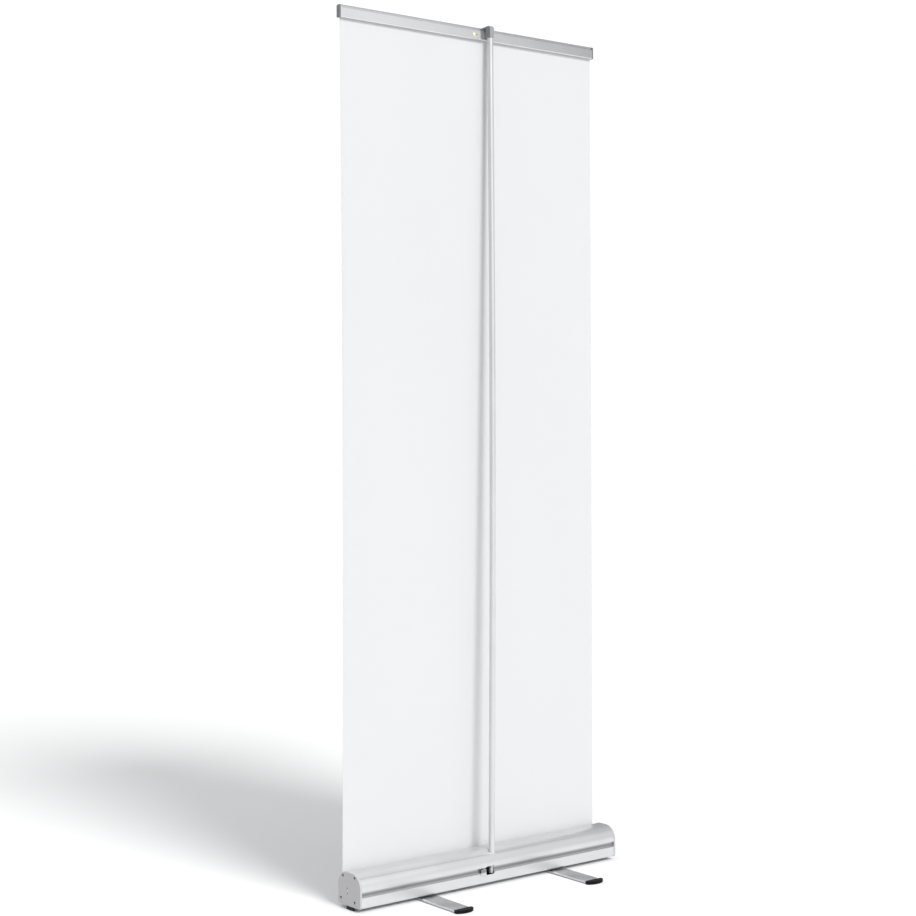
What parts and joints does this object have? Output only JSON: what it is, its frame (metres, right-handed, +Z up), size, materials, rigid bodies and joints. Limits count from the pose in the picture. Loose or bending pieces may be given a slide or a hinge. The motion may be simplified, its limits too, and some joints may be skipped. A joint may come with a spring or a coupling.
{
  "type": "roll-up banner stand",
  "caption": "Free-standing retractable banner stand: domed aluminium base cassette with swivel feet, white graphic pulled up to a clamp rail, held by a leaning sectional pole behind it.",
  "frame": {"origin": "on the floor under the middle of the base, halfway along it and halfway across its depth", "axes": "+Z up, the graphic faces -Y and the pole stands on the +Y side, the base and rail run along X"},
  "size_m": [0.811, 0.384, 2.137],
  "materials": {
    "housing_aluminium": "satin anodised",
    "rail_aluminium": "satin anodised",
    "pole_aluminium": "drawn tube, light polish",
    "foot_aluminium": "matt mill finish",
    "end_plate_grey": "fine satin",
    "film": "smooth matt white film",
    "black_plastic": "fine grain",
    "grey_plastic": "fine grain",
    "rubber": "matt",
    "steel": "bright zinc plate",
    "brass": "bright",
    "nylon": "natural",
    "elastic": "braided cover"
  },
  "bodies": {
    "base": {"base_housing": "housing_aluminium", "end_plate_right": "end_plate_grey", "end_plate_left": "end_plate_grey", "end_screw_upper_rear_right": "steel", "end_screw_upper_rear_left": "steel", "end_screw_lower_rear_right": "steel", "end_screw_lower_rear_left": "steel", "end_screw_lower_front_right": "steel", "end_screw_lower_front_left": "steel", "end_screw_upper_front_right": "steel", "end_screw_upper_front_left": "steel", "pad_right": "rubber", "pad_left": "rubber", "spring_axle": "steel", "idler_axle": "steel", "winding_spring": "steel", "banner_leader": "film", "slot_wiper": "rubber", "pole_socket": "black_plastic", "pole_guide_plate": "pole_aluminium", "guide_rivet": "steel", "foot_washer_right": "nylon", "foot_washer_left": "nylon", "foot_bolt_right": "steel", "foot_bolt_left": "steel", "foot_nut_right": "steel", "foot_nut_left": "steel"},
    "roller": {"roller_tube": "pole_aluminium", "wound_film": "film", "roller_plug_right": "nylon", "roller_plug_left": "nylon"},
    "top_rail": {"rail_back": "rail_aluminium", "rail_cap_right": "grey_plastic", "rail_cap_left": "grey_plastic", "rail_button": "brass", "banner": "film"},
    "rail_jaw": {"rail_front_jaw": "rail_aluminium"},
    "pole_lower_section": {"pole_lower": "pole_aluminium", "pole_foot_plug": "black_plastic", "pole_ferrule_1": "steel", "bungee_cord": "elastic"},
    "pole_middle_section": {"pole_middle": "pole_aluminium", "pole_ferrule_2": "steel"},
    "pole_upper_section": {"pole_upper": "pole_aluminium", "pole_hook": "grey_plastic"},
    "foot_right": {"foot_bar_right": "foot_aluminium", "foot_cap_rear_right": "black_plastic", "foot_cap_front_right": "black_plastic"},
    "foot_left": {"foot_bar_left": "foot_aluminium", "foot_cap_rear_left": "black_plastic", "foot_cap_front_left": "black_plastic"},
    "lock_pin": {"lock_pin": "black_plastic"}
  },
  "joints": [
    {"name": "rail_travel", "type": "slide", "parent": "base", "child": "top_rail", "axis": [0, 0, 1], "range_m": [-2, 0], "deforming": ["banner"]},
    {"name": "roller_spin", "type": "hinge", "parent": "base", "child": "roller", "pos_m": [0, -0.0083, 0.0433], "axis": [1, 0, 0], "continuous": true},
    {"name": "jaw_open", "type": "hinge", "parent": "top_rail", "child": "rail_jaw", "pos_m": [0, -0.03823, 2.1296], "axis": [-1, 0, 0], "range_deg": [0, 44]},
    {"name": "pole_lift", "type": "slide", "parent": "base", "child": "pole_lower_section", "axis": [-0.0211, -0.0227, 0.9995], "range_m": [0, 0.15]},
    {"name": "pole_middle_pull", "type": "slide", "parent": "pole_lower_section", "child": "pole_middle_section", "axis": [-0.0211, -0.0227, 0.9995], "range_m": [0, 0.06]},
    {"name": "pole_upper_pull", "type": "slide", "parent": "pole_middle_section", "child": "pole_upper_section", "axis": [-0.0211, -0.0227, 0.9995], "range_m": [0, 0.06]},
    {"name": "foot_swivel_right", "type": "hinge", "parent": "base", "child": "foot_right", "pos_m": [0.206, 0, 0.004], "axis": [0, 0, 1], "range_deg": [0, 90]},
    {"name": "foot_swivel_left", "type": "hinge", "parent": "base", "child": "foot_left", "pos_m": [-0.206, 0, 0.004], "axis": [0, 0, -1], "range_deg": [0, 90]},
    {"name": "lock_pin_pull", "type": "slide", "parent": "base", "child": "lock_pin", "axis": [1, 0, 0], "range_m": [0, 0.02]}
  ],
  "couplings": [
    {"joint": "roller_spin", "follows": "rail_travel", "rad_per_m": -48.5}
  ]
}
